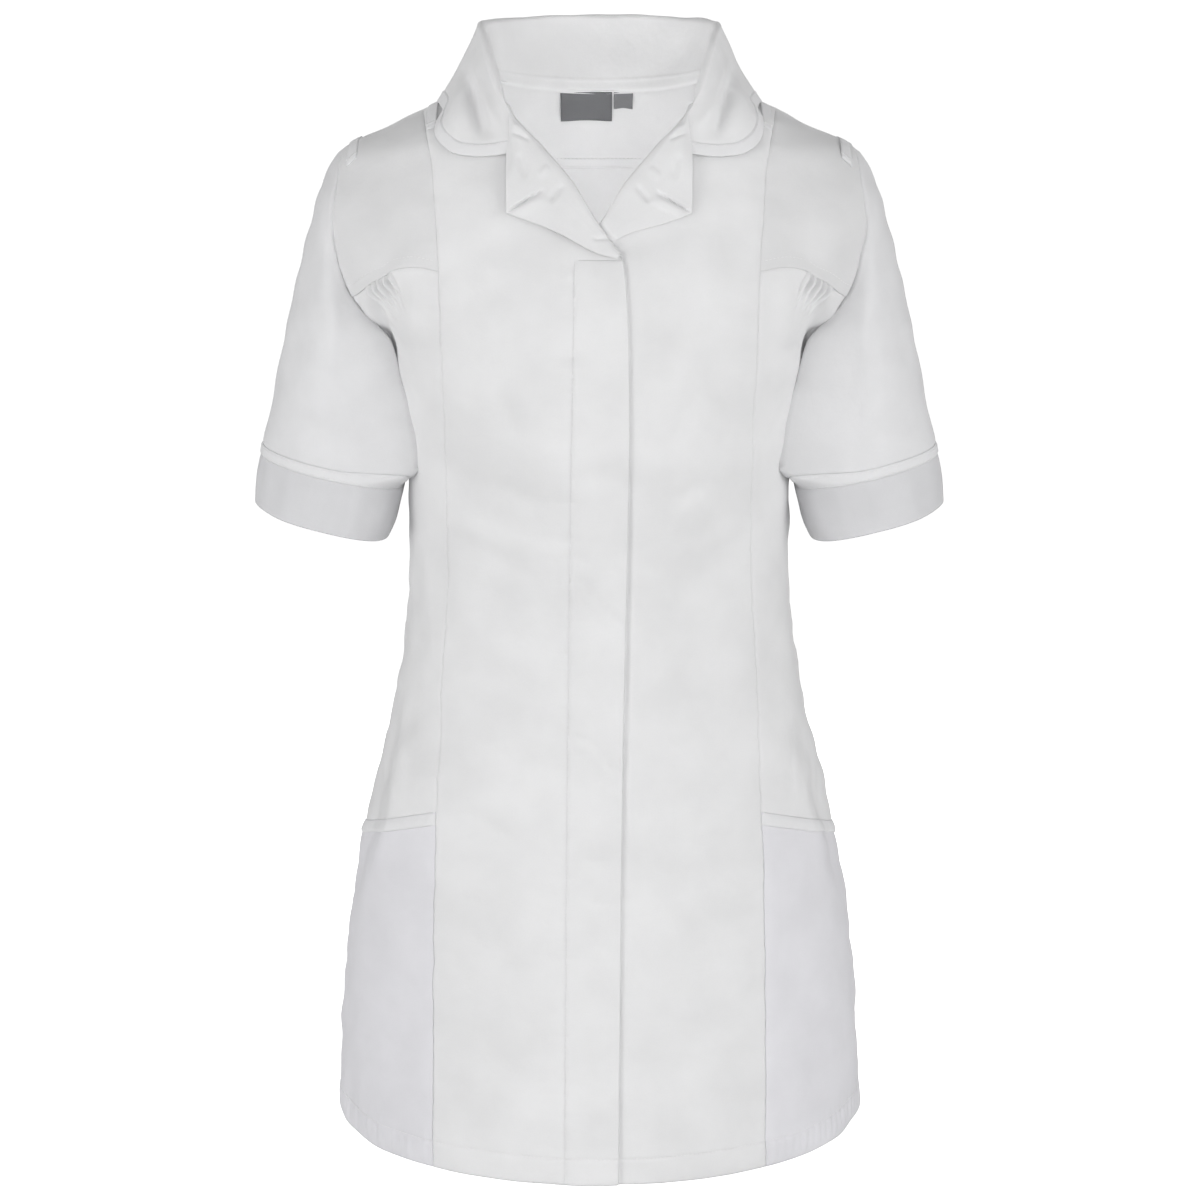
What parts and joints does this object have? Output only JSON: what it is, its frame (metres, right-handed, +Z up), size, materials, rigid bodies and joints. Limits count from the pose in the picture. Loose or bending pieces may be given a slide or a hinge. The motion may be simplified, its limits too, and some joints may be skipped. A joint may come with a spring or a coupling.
{
  "type": "work tunic",
  "caption": "Short-sleeved work tunic, hollow as worn, with rounded revers collar, concealed front fastening, princess seams, shoulder loops, hip pockets and trimmed cuffs.",
  "frame": {"origin": "between the shoulders, at the height where the shoulder seams meet the neck, in the plane of the side seams, where a wearer's shoulders carry the garment", "axes": "+Z up, -Y out of the front, +X to the wearer's left"},
  "size_m": [0.5, 0.3078, 0.8092],
  "materials": {
    "white_cloth": "plain-woven polyester and cotton, pressed, matt with a faint sheen",
    "trim_cloth": "the same white cloth, folded into a narrow band and stitched",
    "woven_label": "damask-woven grey tape, left bare"
  },
  "bodies": {
    "root": {"back_body": "white_cloth", "back_yoke": "white_cloth", "collar": "white_cloth", "collar_trim": "trim_cloth", "cuff_left": "white_cloth", "cuff_right": "white_cloth", "front_left": "white_cloth", "front_right": "white_cloth", "hip_pocket_left": "white_cloth", "hip_pocket_right": "white_cloth", "neck_label": "woven_label", "neck_loop_left": "white_cloth", "neck_loop_right": "white_cloth", "placket": "white_cloth", "pocket_trim_left": "trim_cloth", "pocket_trim_right": "trim_cloth", "revers_left": "white_cloth", "revers_right": "white_cloth", "shoulder_front_left": "white_cloth", "shoulder_front_right": "white_cloth", "shoulder_loop_left": "white_cloth", "shoulder_loop_right": "white_cloth", "side_front_left": "white_cloth", "side_front_right": "white_cloth", "size_tab": "woven_label", "sleeve_left": "white_cloth", "sleeve_right": "white_cloth", "sleeve_trim_left": "trim_cloth", "sleeve_trim_right": "trim_cloth"}
  },
  "joints": []
}
